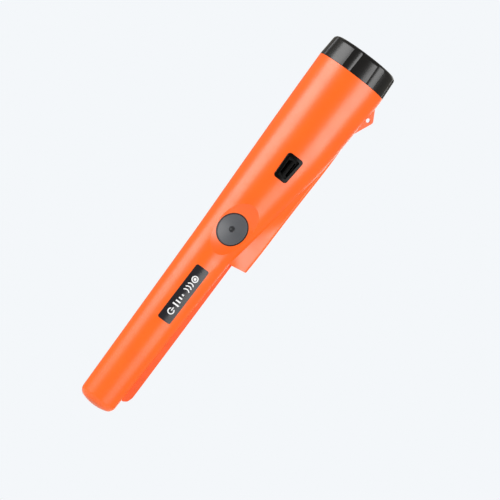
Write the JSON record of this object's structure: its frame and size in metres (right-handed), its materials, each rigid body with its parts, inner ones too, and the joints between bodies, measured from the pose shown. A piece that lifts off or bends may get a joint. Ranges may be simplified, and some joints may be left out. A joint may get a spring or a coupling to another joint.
{
  "type": "pinpointer probe",
  "caption": "Slim orange hand-held metal finder: tapered probe with a scraping blade, dished push button, sounder port, keel ledge, lanyard ear and a fluted screw battery cap.",
  "frame": {"origin": "on the probe's axis, level with the ledge of the keel where a holster carries the probe", "axes": "+Z along the probe from its tip to the battery cap, +X towards the blade and keel, the button faces -Y"},
  "size_m": [0.0459, 0.042, 0.2388],
  "materials": {
    "orange_abs": "satin",
    "blade_orange": "satin",
    "cap_black": "polished",
    "label_black": "gloss",
    "button_grey": "satin",
    "bezel_black": "matte",
    "grille_black": "gloss",
    "seal_rubber": "matte",
    "silicone_red": "matte",
    "black_nylon": "matte",
    "white_nylon": "matte",
    "screw_steel": "zinc plated",
    "board_green": "solder mask",
    "chip_black": "matte",
    "chip_ceramic": "matte",
    "capacitor_sleeve": "sleeved",
    "crystal_can": "satin",
    "film_black": "matte",
    "sounder_case": "matte",
    "motor_can": "satin",
    "tungsten_weight": "satin",
    "battery_jacket": "gloss",
    "terminal_nickel": "bright",
    "lead_red": "satin",
    "lead_black": "satin",
    "ferrite_grey": "matte",
    "coil_copper": "enamelled",
    "foam_grey": "open cell"
  },
  "bodies": {
    "body": {"front_shell": "orange_abs", "rear_shell": "orange_abs", "scraping_blade": "blade_orange", "lanyard_ear": "orange_abs", "label_plate": "label_black", "threaded_neck": "orange_abs", "button_bezel": "bezel_black", "button_seal": "seal_rubber", "seal_retainer": "black_nylon", "tact_switch": "black_nylon", "sounder_grille": "grille_black", "grille_membrane": "film_black", "sounder_gasket": "seal_rubber", "piezo_sounder": "sounder_case", "circuit_board": "board_green", "microcontroller": "chip_black", "chip_resistors": "chip_ceramic", "capacitors": "capacitor_sleeve", "crystal": "crystal_can", "terminal_header": "white_nylon", "board_screws": "screw_steel", "shell_screws": "screw_steel", "seam_gasket": "seal_rubber", "vibration_motor": "motor_can", "motor_cradle": "black_nylon", "battery_bulkhead": "white_nylon", "battery_case": "battery_jacket", "battery_terminals": "terminal_nickel", "battery_snap": "black_nylon", "battery_lead_red": "lead_red", "battery_lead_black": "lead_black", "ferrite_rod": "ferrite_grey", "coil_former": "white_nylon", "transmit_coil": "coil_copper", "receive_coil": "coil_copper", "coil_leads": "coil_copper", "tip_cushion": "foam_grey"},
    "cap_ring": {"cap_o_ring": "silicone_red"},
    "cap": {"battery_cap": "cap_black", "battery_pad": "foam_grey"},
    "button": {"power_button": "button_grey", "switch_plunger": "black_nylon", "switch_stem": "black_nylon"},
    "motor_weight": {"eccentric_weight": "tungsten_weight"}
  },
  "joints": [
    {"name": "cap_turn", "type": "hinge", "parent": "body", "child": "cap_ring", "pos_m": [0.00415, 0, 0.1206], "axis": [0, 0, 1], "range_deg": [0, 1080]},
    {"name": "cap_lift", "type": "slide", "parent": "cap_ring", "child": "cap", "axis": [0, 0, 1], "range_m": [0, 0.0075]},
    {"name": "button_press", "type": "slide", "parent": "body", "child": "button", "axis": [0, 1, 0], "range_m": [0, 0.0008], "stiffness_N_per_m": 900, "springref_m": -0.001},
    {"name": "motor_spin", "type": "hinge", "parent": "body", "child": "motor_weight", "pos_m": [0.0036, 0.0052, 0.065], "axis": [0, 0, 1], "continuous": true}
  ],
  "couplings": [
    {"joint": "cap_lift", "follows": "cap_turn", "m_per_rad": 0.00039789}
  ]
}
